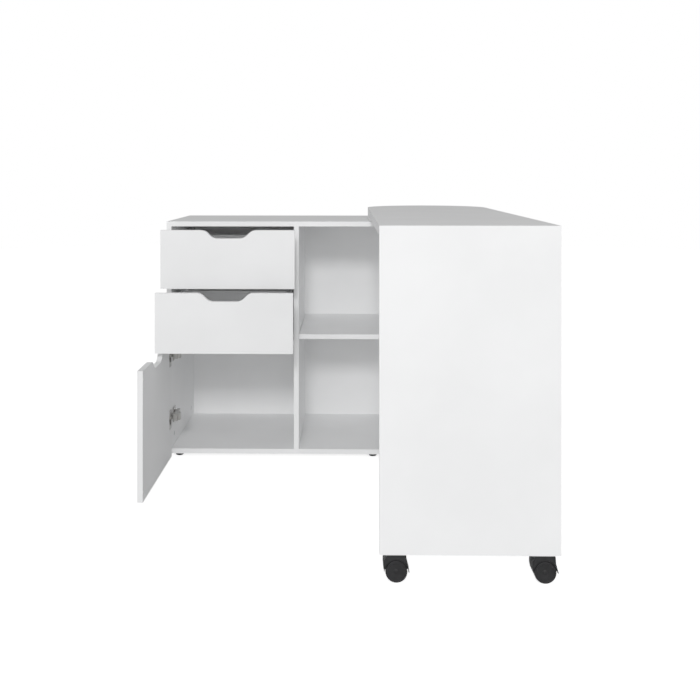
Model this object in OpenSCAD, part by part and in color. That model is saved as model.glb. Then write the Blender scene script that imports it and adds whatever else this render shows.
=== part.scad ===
// Sewing table: a low cabinet with two drawers, a door and open shelves, and a desk on castors
// that swivels on the cabinet's top. Millimetres, +Z up. The origin is on the floor, under the
// middle of the object's box. The cabinet's fronts face -Y.

/* [Overall] */
// Height of the desk's top above the floor
total_h = 770; // [740:1:800]
// Width of the cabinet, left end to right end
cabinet_w = 1020; // [900:5:1250]
// Depth of the cabinet, back panel included
cabinet_d = 420; // [400:5:520]
// Length of the desk from its round end to the outer face of its leg panel
table_len = 1285; // [1250:5:1500]
// Width of the desk, and the diameter of its round end
table_w = 390; // [330:5:400]

/* [Boards] */
// Thickness of the cabinet's boards and fronts
board_t = 15; // [12:1:19]
// Thickness of the desk's top and leg panel
table_t = 22; // [16:1:28]
// Thickness of the spacer board under the desk's round end
spacer_t = 12; // [10:1:19]
// Thickness of the cabinet's back panel and of the drawer bottoms
back_t = 3; // [2.5:0.5:5]

/* [Cabinet] */
// Height of the feet under the cabinet
foot_h = 14; // [10:1:30]
// Diameter of a foot
foot_d = 25; // [18:1:32]
// Distance from the cabinet's ends, front and back to the middle of a foot
foot_inset = 35; // [20:1:60]
// Distance from the left end to the middle pair of feet
middle_foot_x = 641; // [450:1:800]
// Clear width of the left bay, which holds the drawers and the door
left_bay_w = 381; // [320:1:450]
// Height of the underside of the shelf in the right bay
bay_shelf_z = 370; // [150:1:550]
// Side play of the loose shelf in the right bay
shelf_play = 0.5; // [0.2:0.1:2]
// Diameter of a shelf pin
shelf_pin_d = 5; // [4:0.5:6]

/* [Fronts] */
// Height of a drawer front
drawer_front_h = 175.5; // [150:0.5:200]
// Gap between neighbouring fronts
front_gap = 2.5; // [2:0.5:4]
// Gap between the fronts and the cabinet's front edges
front_stand_off = 2.5; // [2:0.5:4]
// Gap between the cabinet's top board and the upper front
front_top_gap = 6; // [3:0.5:12]
// How much of the left side's edge the fronts leave bare
front_reveal = 1.5; // [1:0.5:4]
// How far the fronts cover the divider's edge
divider_cover = 8; // [5:0.5:12]
// How far the door hangs below the bottom board
door_drop = 7; // [0:0.5:9]
// Width of a finger notch between its upper corners, before they are rounded
notch_w = 142; // [110:1:200]
// Width of a finger notch between its lower corners, before they are rounded
notch_flat = 92; // [40:1:100]
// Depth of a finger notch
notch_depth = 25; // [15:1:25]
// Radius of a finger notch's corners
notch_r = 30; // [10:1:40]

/* [Drawers] */
// Depth of a drawer box
drawer_len = 350; // [300:5:390]
// Height of a drawer's sides
drawer_side_h = 120; // [80:1:130]
// Thickness of a drawer's sides and back
drawer_side_t = 12; // [10:1:15]
// Height of a drawer's sides above the bottom edge of its front
drawer_lift = 28; // [26:1:40]
// Space for a runner on each side of a drawer
runner_space = 12.5; // [12.5:0.1:14]
// Depth of the grooves that hold a drawer's bottom
groove_depth = 6; // [4:0.5:7]
// How far the upper drawer stands open
upper_open = 86; // [0:1:250]
// How far the lower drawer stands open
lower_open = 167; // [0:1:250]

/* [Runners] */
// Thickness of the runners' sheet steel
rail_t = 1.2; // [1:0.1:1.5]
// Inside height of the channel on the cabinet
channel_h = 20; // [19:0.5:24]
// Diameter of a runner roller
roller_d = 15; // [12:0.5:15]
// Width of a runner roller
roller_w = 6; // [5:0.5:6.5]
// Diameter of a roller's axle
roller_axle_d = 5; // [4:0.5:6]
// Gap between a roller and the steel that it runs on
roller_gap = 0.3; // [0.3:0.1:0.6]

/* [Door hinges] */
// How far the door stands open, in degrees
door_angle = 90; // [0:1:110]
// Distance from the cabinet's left end to the door's turning axis
hinge_x = 7; // [6:0.5:7.5]
// Distance from the fronts' back face forward to the door's turning axis
hinge_back = 10.5; // [10:0.5:12]
// Height of the lower hinge
lower_hinge_z = 127; // [90:1:180]
// Height of the upper hinge
upper_hinge_z = 319; // [270:1:325]
// Diameter of a hinge cup
cup_d = 35; // [35:1:35]
// Depth of a hinge cup
cup_depth = 11; // [10:0.5:11.5]
// Distance from the door's edge to the middle of a hinge cup
cup_inset = 22.5; // [21:0.5:24]
// Diameter of a hinge pin
hinge_pin_d = 3; // [2.5:0.1:3.2]
// Radial play between a hinge pin and the arm that turns on it
hinge_play = 0.05; // [0.02:0.01:0.1]

/* [Swivel] */
// Diameter of the steel pin that the desk turns on
pivot_d = 20; // [16:1:30]
// Wall of the plastic bush round the pin
bush_wall = 4; // [3:0.5:6]
// Radial play between the pin and its bush
pivot_play = 0.06; // [0.02:0.01:0.1]
// Thickness of the glide pads under the spacer
glide_t = 1.8; // [1:0.1:3]
// Gap between the glide pads and the cabinet's top
glide_gap = 0.2; // [0.1:0.1:0.5]

/* [Castors] */
// Height of a castor from the floor to the top of its plate
castor_h = 62; // [60:1:70]
// Diameter of a castor wheel
wheel_d = 48; // [44:1:48]
// Width of one castor wheel
wheel_w = 14; // [11:0.5:16]
// Distance from the swivel axis to the wheel axle
castor_trail = 2; // [1:0.5:12]
// Side of a castor's square plate
castor_plate_w = 39; // [36:1:44]
// Distance from the leg panel's ends to a castor's swivel axis
castor_inset = 35; // [30:1:60]
// Diameter of a castor's axle
castor_axle_d = 6; // [5:0.5:8]
// Diameter of a castor's king pin
king_pin_d = 8; // [7:0.5:10]
// Radial play of the castor's wheels and king pin
castor_play = 0.08; // [0.03:0.01:0.1]

/* [Hidden] */
$fn = 48;

// Play between a fitting and the hole that it is pressed or screwed into
fit_play = 0.05;

// Places along the cabinet, from its left end
divider_x = board_t + left_bay_w;
right_side_x = cabinet_w - board_t;
right_bay_x = divider_x + board_t;
right_bay_w = right_side_x - right_bay_x;
pivot_x = cabinet_w - table_w / 2;
// Places front to back: y is 0 at the cabinet's front edges
pivot_y = cabinet_d - table_w / 2;
reach = table_len - table_w / 2;
desk_front = reach - pivot_y;
carcass_d = cabinet_d - back_t;
origin_x = cabinet_w / 2;
origin_y = (cabinet_d - desk_front) / 2;
// Heights
cabinet_h = total_h - table_t - spacer_t - glide_t - glide_gap;
floor_z = foot_h + board_t;
ceiling_z = cabinet_h - board_t;
upper_front_z = ceiling_z - front_top_gap - drawer_front_h;
lower_front_z = upper_front_z - front_gap - drawer_front_h;
door_top_z = lower_front_z - front_gap;
door_z = foot_h - door_drop;
door_h = door_top_z - door_z;
drawer_shelf_z = door_top_z + front_gap / 2 - board_t / 2;
spacer_z = cabinet_h + glide_gap + glide_t;
table_z = spacer_z + spacer_t;
// Fronts
front_w = divider_x + divider_cover - front_reveal;
notch_x = board_t + left_bay_w / 2 - front_reveal;
hinge_y = -front_stand_off - hinge_back;
// Drawers
drawer_x = board_t + runner_space;
drawer_w = left_bay_w - 2 * runner_space;
bottom_rise = 10;
groove_play = 0.2;
// Runner heights above the running face of the channel
roller_r = roller_d / 2;
flange_rise = roller_d + 1 + roller_gap;
channel_drop = flange_rise + rail_t;
rail_len = drawer_len;
rail_front = 3;
roller_inset = 14;
roller_side = 3.5;
roller_head = 0.8;
roller_bore_play = 0.05;
web_gap = 1.1;
// Cam locks and dowels
cam_d = 15;
cam_depth = 12.5;
cam_from_edge = 34;
cam_bolt_d = 6;
cam_bolt_grip = 11;
dowel_d = 8;
dowel_len = 30;
dowel_grip = 11;
joint_ys = [50, carcass_d - 57];
dowel_ys = [90, carcass_d - 97];
shelf_dowel_ys = [60, carcass_d - 67];
shelf_pin_ys = [50, carcass_d - 50];
shelf_pin_len = 16;
// Desk
spacer_len = cabinet_d - 5;
bush_rise = 12;
glide_d = 30;
glide_r = table_w / 2 - 40;
batten_t = 22;
batten_h = 60;
bracket_w = 30;
bracket_leg = 50;
bracket_t = 3;
bracket_x = table_w / 2 - 70;
screw_d = 4;
screw_head_d = 8;
// Castors
wheel_r = wheel_d / 2;
castor_y = reach - table_t;
castor_plate_t = 2.5;
hood_gap = 0.5;
hood_top = castor_h - castor_plate_t - hood_gap;
web_half = 3;
wheel_gap = 1;
wheel_pocket_r = wheel_r + 1.8;
hood_half = web_half + wheel_gap + wheel_w + 1;
king_pin_len = 8;

module in_frame() { translate([-origin_x, -origin_y, 0]) children(); }

module at_pivot() { in_frame() translate([pivot_x, pivot_y, 0]) children(); }

module board(x, y, z, w, d, h) { translate([x, y, z]) cube([w, d, h]); }

module x_pin(x, y, z, d, len) { translate([x, y, z]) rotate([0, 90, 0]) cylinder(d = d, h = len); }

module y_pin(x, y, z, d, len) { translate([x, y, z]) rotate([-90, 0, 0]) cylinder(d = d, h = len); }

module z_pin(x, y, z, d, len) { translate([x, y, z]) cylinder(d = d, h = len); }

// ---- Joints between the upright boards and the top and bottom boards ----

// The left face of each upright board, and the face its cams are let into: 1 is right, -1 is left
uprights = [[0, 1], [divider_x, -1], [right_side_x, -1]];

// Runs at the top joint and, turned over, at the bottom joint of one upright board
module at_both_ends() {
    translate([0, 0, ceiling_z]) children();
    translate([0, 0, floor_z]) mirror([0, 0, 1]) children();
}

module cam_holes(upright, play) {
    cam_x = upright[1] > 0 ? upright[0] + board_t - cam_depth : upright[0];
    at_both_ends() for (y = joint_ys)
        x_pin(cam_x, y, -cam_from_edge, cam_d + 2 * play, cam_depth);
}

module bolt_holes(upright, play) {
    at_both_ends() for (y = joint_ys)
        z_pin(upright[0] + board_t / 2, y, -cam_from_edge, cam_bolt_d + 2 * play,
              cam_from_edge + cam_bolt_grip);
}

module upright_dowels(upright, play) {
    at_both_ends() for (y = dowel_ys)
        z_pin(upright[0] + board_t / 2, y, dowel_grip - dowel_len, dowel_d + 2 * play, dowel_len);
}

module shelf_dowels(play) {
    for (y = shelf_dowel_ys, x = [board_t, divider_x])
        x_pin(x - (x == board_t ? 1 : 2) * dowel_len / 2 + (x == board_t ? 5 : 10),
              y, drawer_shelf_z + board_t / 2, dowel_d + 2 * play, dowel_len);
}

module joint_holes() {
    for (upright = uprights) {
        cam_holes(upright, fit_play);
        bolt_holes(upright, fit_play);
        upright_dowels(upright, fit_play);
    }
    shelf_dowels(fit_play);
}

module shelf_pin_holes(play) {
    for (y = shelf_pin_ys, x = [right_bay_x, right_side_x])
        x_pin(x - shelf_pin_len / 2, y, bay_shelf_z - shelf_pin_d / 2, shelf_pin_d + 2 * play, shelf_pin_len);
}

// ---- Cabinet ----

module cabinet_top() {
    color("whitesmoke") in_frame() difference() {
        board(0, 0, ceiling_z, cabinet_w, carcass_d, board_t);
        joint_holes();
        back_screws(fit_play);
        z_pin(pivot_x, pivot_y, ceiling_z - 1, pivot_d + 2 * fit_play, board_t + 2);
        pivot_screw_shapes(fit_play);
    }
}

module cabinet_bottom() {
    color("whitesmoke") in_frame() difference() {
        board(0, 0, foot_h, cabinet_w, carcass_d, board_t);
        joint_holes();
        back_screws(fit_play);
    }
}

module upright_board(x) {
    color("white") in_frame() difference() {
        board(x, 0, floor_z, board_t, carcass_d, ceiling_z - floor_z);
        joint_holes();
        shelf_pin_holes(fit_play);
        cabinet_screw_shapes(fit_play);
    }
}

module left_side() { upright_board(0); }

module right_side() { upright_board(right_side_x); }

module divider() { upright_board(divider_x); }

module drawer_shelf() {
    color("white") in_frame() difference() {
        board(board_t, 0, drawer_shelf_z, left_bay_w, carcass_d, board_t);
        shelf_dowels(fit_play);
    }
}

module bay_shelf() {
    color("white") in_frame()
        board(right_bay_x + shelf_play, 0, bay_shelf_z, right_bay_w - 2 * shelf_play, carcass_d - 1, board_t);
}

module back_panel() {
    color("white") in_frame() difference() {
        board(0, carcass_d, foot_h, cabinet_w, back_t, cabinet_h - foot_h);
        back_screws(fit_play);
    }
}

module shelf_pins() { color("silver") in_frame() shelf_pin_holes(0); }

module cam_locks() {
    color("silver") in_frame() for (upright = uprights) difference() {
        cam_holes(upright, 0);
        bolt_holes(upright, fit_play);
    }
}

module cam_bolts() { color("silver") in_frame() for (upright = uprights) bolt_holes(upright, 0); }

module dowels() {
    color("burlywood") in_frame() {
        for (upright = uprights) upright_dowels(upright, 0);
        shelf_dowels(0);
    }
}

module foot() {
    rim = 2;
    cylinder(d1 = foot_d - 2 * rim, d2 = foot_d, h = rim);
    translate([0, 0, rim]) cylinder(d = foot_d, h = foot_h - rim);
}

// ---- Screws in the cabinet: hinge plates, cabinet rails and back panel ----

board_grip = 11;
back_screw_d = 3;
back_head_d = 6;
back_head_t = 1.5;
back_screw_zs = [80, 220, 360, 500, 640];
back_screw_xs = [90, 210, 330, 500, 620, 760, 900];

module hinge_plate_screws(play) {
    head_t = 1.8;
    at_hinges() for (z = [-hinge_plate_screw_z, hinge_plate_screw_z]) {
        x_pin(board_t - board_grip, hinge_plate_screw_y, z, screw_d + 2 * play, board_grip + hinge_plate_t);
        x_pin(board_t + hinge_plate_t, hinge_plate_screw_y, z, screw_head_d, head_t);
    }
}

module rail_screws(front_z, play) {
    on_left_and_right(front_z) for (y = rail_screw_ys) {
        x_pin(-board_grip, rail_front + y, channel_h / 2, screw_d + 2 * play, board_grip + rail_t);
        x_pin(0, rail_front + y, channel_h / 2, screw_head_d - 2 + 2 * play, rail_t);
    }
}

module back_screw(x, z, play) {
    y_pin(x, carcass_d - board_grip, z, back_screw_d + 2 * play, board_grip + back_t);
    y_pin(x, cabinet_d - back_head_t, z, back_head_d + 2 * play, back_head_t);
}

module back_screws(play) {
    for (x = [board_t / 2, divider_x + board_t / 2, right_side_x + board_t / 2], z = back_screw_zs)
        back_screw(x, z, play);
    for (x = back_screw_xs, z = [foot_h + board_t / 2, ceiling_z + board_t / 2]) back_screw(x, z, play);
}

module cabinet_screw_shapes(play) {
    hinge_plate_screws(play);
    for (z = [upper_front_z, lower_front_z]) rail_screws(z, play);
    back_screws(play);
}

module cabinet_screws() { color("silver") in_frame() cabinet_screw_shapes(0); }

module feet() {
    color([0.1, 0.1, 0.1]) in_frame()
        for (x = [foot_inset, middle_foot_x, cabinet_w - foot_inset],
             y = [foot_inset, cabinet_d - foot_inset])
            translate([x, y, 0]) foot();
}

// ---- Door hinges: a plate and an arm on the cabinet, a cup in the door ----

hinge_plate_t = 3;
hinge_plate_h = 44;
hinge_plate_ys = [22, 58];
arm_h = 20;
arm_nose_y = -11;
arm_nose_x = [22, 35];
arm_wide_x = 42;
arm_back_y = 64;
knuckle_d = 5.6;
knuckle_h = 9;
neck_t = 2.4;
neck_angle = 35;
neck_len = 19;
hinge_plate_screw_y = 40;
hinge_plate_screw_z = 16;

module at_hinges() { for (z = [lower_hinge_z, upper_hinge_z]) translate([0, 0, z]) children(); }

// Clear bores for the two screws of a hinge plate
module hinge_plate_bores(r) {
    for (z = [-hinge_plate_screw_z, hinge_plate_screw_z])
        x_pin(board_t - 1, hinge_plate_screw_y, z, 2 * r, hinge_plate_t + 2);
}

module hinge_plates() {
    color("silver") in_frame() at_hinges() difference() {
        union() {
            board(board_t, hinge_plate_ys[0], -hinge_plate_h / 2,
                  hinge_plate_t, hinge_plate_ys[1] - hinge_plate_ys[0], hinge_plate_h);
            board(board_t, hinge_plate_ys[0] - 4, -arm_h / 2 + 2,
                  hinge_plate_t + 3, hinge_plate_ys[1] - hinge_plate_ys[0] + 8, arm_h - 4);
        }
        hinge_plate_bores(screw_d / 2 + fit_play);
    }
}

module hinge_arms() {
    base_x = board_t + hinge_plate_t + 3;
    color("silver") in_frame() at_hinges() difference() {
        union() {
            translate([0, 0, -arm_h / 2]) linear_extrude(arm_h) polygon([
                [base_x, arm_back_y], [base_x, 8], [arm_nose_x[0], 4], [arm_nose_x[0], arm_nose_y],
                [arm_nose_x[1], arm_nose_y], [arm_nose_x[1] + 1, -1], [arm_wide_x, 2], [arm_wide_x, 20],
                [base_x + 12, 34], [base_x + 10, arm_back_y]
            ]);
            // The neck and the knuckle that turns on the pin
            translate([hinge_x, hinge_y, -knuckle_h / 2]) rotate([0, 0, neck_angle])
                board(0, -neck_t / 2, 0, neck_len, neck_t, knuckle_h);
            z_pin(hinge_x, hinge_y, -knuckle_h / 2, knuckle_d, knuckle_h);
        }
        z_pin(hinge_x, hinge_y, -knuckle_h, hinge_pin_d + 2 * hinge_play, 2 * knuckle_h);
    }
}

// ---- Fronts: a board with a finger notch in its top edge ----

// The notch's outline, its middle at x = 0 and the front's top edge at y = 0
module notch_outline() {
    slope = atan2(notch_depth, (notch_w - notch_flat) / 2);
    // Length that a corner's arc takes on each side of the corner
    arc_take = min(notch_r * tan(slope / 2), notch_depth / 2 / sin(slope));
    r = arc_take / tan(slope / 2);
    steps = 6;
    // Lower corner on the right: the arc bends from the flat to the slope
    lower = [for (i = [0:steps]) let (a = slope * i / steps)
        [notch_flat / 2 - arc_take + r * sin(a), -notch_depth + r - r * cos(a)]];
    // Upper corner on the right: the arc bends from the slope to the top edge
    upper = [for (i = [0:steps]) let (a = slope * (1 - i / steps))
        [notch_w / 2 + arc_take - r * sin(a), -r + r * cos(a)]];
    right = concat(lower, upper, [[notch_w / 2 + arc_take, 1]]);
    left = [for (i = [len(right) - 1:-1:0]) [-right[i][0], right[i][1]]];
    polygon(concat(right, left));
}

module notched_front(z, h) {
    translate([front_reveal, -front_stand_off, z]) rotate([90, 0, 0]) linear_extrude(board_t) difference() {
        square([front_w, h]);
        translate([notch_x, h]) notch_outline();
    }
}

// ---- Door ----

module door_open() {
    in_frame() translate([hinge_x, hinge_y, 0]) rotate([0, 0, -door_angle])
        translate([-hinge_x, -hinge_y, 0]) children();
}

cup_x = front_reveal + cup_inset;
cup_wall = 1;
cup_flange_w = 26;
cup_flange_h = 60;
cup_flange_t = 1.2;
cup_screw_z = 24;

// The block at the door's edge that holds a hinge's pin
housing_x = [front_reveal + 0.3, 12];
housing_h = 26;
housing_depth = 13.5;
slot_end_x = 20;

module housing(play) {
    board(housing_x[0] - play, -front_stand_off - housing_depth - play, -housing_h / 2 - play,
          housing_x[1] - housing_x[0] + 2 * play, housing_depth + play, housing_h + 2 * play);
}

// The slot that the arm's knuckle and neck swing through
module neck_slot() {
    gap = 0.3;
    slot_h = knuckle_h + 2 * gap;
    board(0, -front_stand_off - housing_depth - 1, -slot_h / 2, housing_x[1], housing_depth + 2, slot_h);
    board(0, -front_stand_off - cup_depth + cup_wall, -slot_h / 2, slot_end_x, cup_depth + 2, slot_h);
}

module cup_pocket(play) {
    at_hinges() {
        y_pin(cup_x, -front_stand_off - cup_depth, 0, cup_d + 2 * play, cup_depth + 1);
        housing(play);
        board(0, -front_stand_off - housing_depth - play, -housing_h / 2 - play,
              housing_x[0], housing_depth + 1, housing_h + 2 * play);
    }
}

module door_panel() {
    color("white") door_open() difference() {
        notched_front(door_z, door_h);
        cup_pocket(fit_play);
        at_hinges() for (z = [-cup_screw_z, cup_screw_z])
            y_pin(cup_x, -front_stand_off - 9, z, screw_d, 10);
    }
}

module hinge_cups() {
    color("silver") door_open() at_hinges() difference() {
        union() {
            difference() {
                union() {
                    y_pin(cup_x, -front_stand_off - cup_depth, 0, cup_d, cup_depth);
                    board(cup_x - cup_flange_w / 2, -front_stand_off, -cup_flange_h / 2,
                          cup_flange_w, cup_flange_t, cup_flange_h);
                }
                y_pin(cup_x, -front_stand_off - cup_depth + cup_wall, 0,
                      cup_d - 2 * cup_wall, cup_depth + cup_flange_t);
            }
            housing(0);
        }
        neck_slot();
        z_pin(hinge_x, hinge_y, -housing_h, hinge_pin_d + 2 * fit_play, 2 * housing_h);
        for (z = [-cup_screw_z, cup_screw_z])
            y_pin(cup_x, -front_stand_off - 1, z, screw_d + 2 * fit_play, cup_flange_t + 2);
    }
}

module hinge_pins() {
    pin_len = housing_h - 1;
    color("silver") door_open() at_hinges() z_pin(hinge_x, hinge_y, -pin_len / 2, hinge_pin_d, pin_len);
}

module cup_screws() {
    head_t = 0.9;
    color("silver") door_open() at_hinges() for (z = [-cup_screw_z, cup_screw_z]) {
        y_pin(cup_x, -front_stand_off - 8, z, screw_d - 2 * fit_play, 8 + cup_flange_t);
        y_pin(cup_x, -front_stand_off + cup_flange_t, z, screw_head_d, head_t);
    }
}

module door_bumpers() {
    bumper_t = 1.5;
    color("gainsboro") door_open() for (z = [door_z + 25, door_top_z - 25])
        y_pin(divider_x + divider_cover / 2, -front_stand_off, z, 8, bumper_t);
}

// ---- Drawers ----

module drawn(out) { in_frame() translate([0, -out, 0]) children(); }

module drawer_groove(z) {
    inset = drawer_side_t - groove_depth;
    board(drawer_x + inset - groove_play, -front_stand_off - groove_depth - groove_play,
          z + drawer_lift + bottom_rise - groove_play,
          drawer_w - 2 * inset + 2 * groove_play,
          drawer_len - inset + groove_depth + 2 * groove_play, back_t + 2 * groove_play);
}

module drawer_front(z, out) {
    color("white") drawn(out) difference() {
        notched_front(z, drawer_front_h);
        drawer_groove(z);
        drawer_fixing_shapes(z, fit_play);
    }
}

module drawer_side(x, z, out) {
    color("whitesmoke") drawn(out) difference() {
        board(x, -front_stand_off, z + drawer_lift, drawer_side_t, drawer_len, drawer_side_h);
        drawer_groove(z);
        drawer_fixing_shapes(z, fit_play);
    }
}

module drawer_back(z, out) {
    color("whitesmoke") drawn(out) difference() {
        board(drawer_x + drawer_side_t, drawer_len - front_stand_off - drawer_side_t, z + drawer_lift,
              drawer_w - 2 * drawer_side_t, drawer_side_t, drawer_side_h - 10);
        drawer_groove(z);
        drawer_fixing_shapes(z, fit_play);
    }
}

module drawer_bottom(z, out) {
    inset = drawer_side_t - groove_depth;
    color("white") drawn(out)
        board(drawer_x + inset, -front_stand_off - groove_depth, z + drawer_lift + bottom_rise,
              drawer_w - 2 * inset, drawer_len - inset + groove_depth, back_t);
}

// ---- Runners. x is measured from the cabinet's side to the drawer, z from the channel's running face ----

module on_left_and_right(z) {
    run_z = z + drawer_lift - channel_drop;
    translate([board_t, 0, run_z]) children();
    translate([divider_x, 0, run_z]) mirror([1, 0, 0]) children();
}

cabinet_roller_z = roller_r + 1;
drawer_roller_z = roller_r + roller_gap;
drawer_web_x = runner_space - web_gap;

module cabinet_rail() {
    flange_w = runner_space - web_gap - 0.8;
    translate([0, rail_front, 0]) {
        board(0, 0, -rail_t, rail_t, rail_len, channel_h + 2 * rail_t);
        board(0, 0, -rail_t, flange_w, rail_len, rail_t);
        board(0, 0, channel_h, 8, rail_len, rail_t);
    }
    translate([0, rail_front + roller_inset, cabinet_roller_z]) {
        x_pin(0, 0, 0, roller_axle_d + 3, roller_side - 0.3);
        x_pin(0, 0, 0, roller_axle_d, roller_side + roller_w + 0.3 + roller_head);
        x_pin(roller_side + roller_w + 0.3, 0, 0, roller_axle_d + 3, roller_head);
    }
}

module drawer_rail() {
    web_h = 22;
    translate([0, -front_stand_off, 0]) {
        board(drawer_web_x, 0, flange_rise, web_gap, rail_len, web_h);
        board(roller_side - 0.3, 0, flange_rise,
              runner_space + drawer_side_t - roller_side + 0.3, rail_len, rail_t);
        // The rear end reaches down to carry the roller
        board(drawer_web_x, rail_len - 2 * roller_inset, drawer_roller_z - 5, web_gap, 2 * roller_inset, 20);
    }
    translate([0, rail_len - roller_inset - front_stand_off, drawer_roller_z]) {
        x_pin(roller_side + roller_w + 0.3, 0, 0, roller_axle_d + 3,
              drawer_web_x - roller_side - roller_w - 0.3);
        x_pin(roller_side - 0.3 - roller_head, 0, 0, roller_axle_d,
              drawer_web_x - roller_side + 0.3 + roller_head);
        x_pin(roller_side - 0.3 - roller_head, 0, 0, roller_axle_d + 3, roller_head);
    }
}

module roller() {
    edge = 0.8;
    rotate([0, 90, 0]) rotate_extrude() polygon([
        [roller_axle_d / 2 + roller_bore_play, 0], [roller_r - edge, 0], [roller_r, edge],
        [roller_r, roller_w - edge], [roller_r - edge, roller_w],
        [roller_axle_d / 2 + roller_bore_play, roller_w]
    ]);
}

module cabinet_rails(z) {
    color("white") in_frame() difference() {
        on_left_and_right(z) cabinet_rail();
        rail_screws(z, fit_play);
    }
}

module drawer_rails(z, out) {
    color("white") drawn(out) difference() {
        on_left_and_right(z) drawer_rail();
        drawer_fixing_shapes(z, fit_play);
    }
}

module cabinet_rollers(z) {
    color("gainsboro") in_frame() on_left_and_right(z)
        translate([roller_side, rail_front + roller_inset, cabinet_roller_z]) roller();
}

module drawer_rollers(z, out) {
    color("gainsboro") drawn(out) on_left_and_right(z)
        translate([roller_side, rail_len - roller_inset - front_stand_off, drawer_roller_z]) roller();
}

// ---- Fixings of a drawer: screws through its sides and rails, and dowels into its front ----

fixing_z = [25, 85];
fixing_grip = 22;
rail_screw_grip = 8.5;
front_dowel_d = 6;
front_dowel_len = 24;
rail_screw_ys = [40, 168, 290];
flush_head_t = 1;

module drawer_side_fixings(z, play) {
    side_z = z + drawer_lift;
    back_y = drawer_len - front_stand_off - drawer_side_t / 2;
    for (dz = fixing_z) {
        x_pin(drawer_x, back_y, side_z + dz, screw_d + 2 * play, drawer_side_t + fixing_grip);
        x_pin(drawer_x, back_y, side_z + dz, screw_head_d + 2 * play, flush_head_t + play);
        y_pin(drawer_x + drawer_side_t / 2, -front_stand_off - front_dowel_len / 2 + 2, side_z + dz,
              front_dowel_d + 2 * play, front_dowel_len);
    }
    for (y = rail_screw_ys)
        z_pin(drawer_x + drawer_side_t / 2, y, side_z - rail_t, screw_d + 2 * play,
              rail_t + rail_screw_grip);
}

module drawer_fixing_shapes(z, play) {
    drawer_side_fixings(z, play);
    translate([2 * board_t + left_bay_w, 0, 0]) mirror([1, 0, 0]) drawer_side_fixings(z, play);
}

module drawer_fixings(z, out) { color("silver") drawn(out) drawer_fixing_shapes(z, 0); }

module upper_fixings() { drawer_fixings(upper_front_z, upper_open); }
module lower_fixings() { drawer_fixings(lower_front_z, lower_open); }

module upper_front() { drawer_front(upper_front_z, upper_open); }
module upper_left_side() { drawer_side(drawer_x, upper_front_z, upper_open); }
module upper_right_side() { drawer_side(drawer_x + drawer_w - drawer_side_t, upper_front_z, upper_open); }
module upper_back() { drawer_back(upper_front_z, upper_open); }
module upper_bottom() { drawer_bottom(upper_front_z, upper_open); }
module upper_drawer_rails() { drawer_rails(upper_front_z, upper_open); }
module upper_cabinet_rails() { cabinet_rails(upper_front_z); }
module upper_cabinet_rollers() { cabinet_rollers(upper_front_z); }
module upper_drawer_rollers() { drawer_rollers(upper_front_z, upper_open); }

module lower_front() { drawer_front(lower_front_z, lower_open); }
module lower_left_side() { drawer_side(drawer_x, lower_front_z, lower_open); }
module lower_right_side() { drawer_side(drawer_x + drawer_w - drawer_side_t, lower_front_z, lower_open); }
module lower_back() { drawer_back(lower_front_z, lower_open); }
module lower_bottom() { drawer_bottom(lower_front_z, lower_open); }
module lower_drawer_rails() { drawer_rails(lower_front_z, lower_open); }
module lower_cabinet_rails() { cabinet_rails(lower_front_z); }
module lower_cabinet_rollers() { cabinet_rollers(lower_front_z); }
module lower_drawer_rollers() { drawer_rollers(lower_front_z, lower_open); }

// ---- Swivel ----

pivot_flange_d = 90;
pivot_flange_t = 3;
pivot_screw_ring = 33;
pivot_screw_grip = 11;
pin_top_gap = 2;

module pivot_screw_shapes(play) {
    for (a = [45:90:315])
        z_pin(pivot_x + pivot_screw_ring * cos(a), pivot_y + pivot_screw_ring * sin(a),
              ceiling_z - pivot_flange_t, screw_d + 2 * play, pivot_flange_t + pivot_screw_grip);
}

module pivot_pin() {
    color("silver") in_frame() difference() {
        union() {
            z_pin(pivot_x, pivot_y, ceiling_z - pivot_flange_t, pivot_flange_d, pivot_flange_t);
            z_pin(pivot_x, pivot_y, ceiling_z - pivot_flange_t, pivot_d,
                  table_z + bush_rise - pin_top_gap - ceiling_z + pivot_flange_t);
        }
        pivot_screw_shapes(fit_play);
    }
}

module pivot_screws() {
    head_t = 2.5;
    color("silver") in_frame() {
        pivot_screw_shapes(0);
        for (a = [45:90:315])
            z_pin(pivot_x + pivot_screw_ring * cos(a), pivot_y + pivot_screw_ring * sin(a),
                  ceiling_z - pivot_flange_t - head_t, screw_head_d, head_t);
    }
}

// ---- Desk. Its parts are placed from the swivel's axis, and the desk points along -Y ----

module bush_hole(z, play) { z_pin(0, 0, z, pivot_d + 2 * pivot_play + 2 * bush_wall + 2 * play, bush_rise); }

module round_ended(len, t) {
    linear_extrude(t) union() {
        circle(d = table_w);
        translate([-table_w / 2, -len]) square([table_w, len]);
    }
}

module table_top() {
    color("white") at_pivot() difference() {
        translate([0, 0, table_z]) round_ended(reach - table_t, table_t);
        bush_hole(table_z, fit_play);
        desk_screw_shapes(fit_play);
    }
}

module swivel_spacer() {
    color("white") at_pivot() difference() {
        translate([0, 0, spacer_z]) round_ended(spacer_len - table_w / 2, spacer_t);
        z_pin(0, 0, spacer_z - 1, pivot_d + 2 * pivot_play + 2 * bush_wall + 2 * fit_play, spacer_t + 2);
        desk_screw_shapes(fit_play);
    }
}

module pivot_bush() {
    color("gainsboro") at_pivot() difference() {
        z_pin(0, 0, spacer_z, pivot_d + 2 * pivot_play + 2 * bush_wall, spacer_t + bush_rise);
        z_pin(0, 0, spacer_z - 1, pivot_d + 2 * pivot_play, spacer_t + bush_rise + 2);
    }
}

module glide_pads() {
    color("gainsboro") at_pivot() for (a = [0:90:270])
        z_pin(glide_r * cos(a), glide_r * sin(a), cabinet_h + glide_gap, glide_d, glide_t);
}

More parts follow.
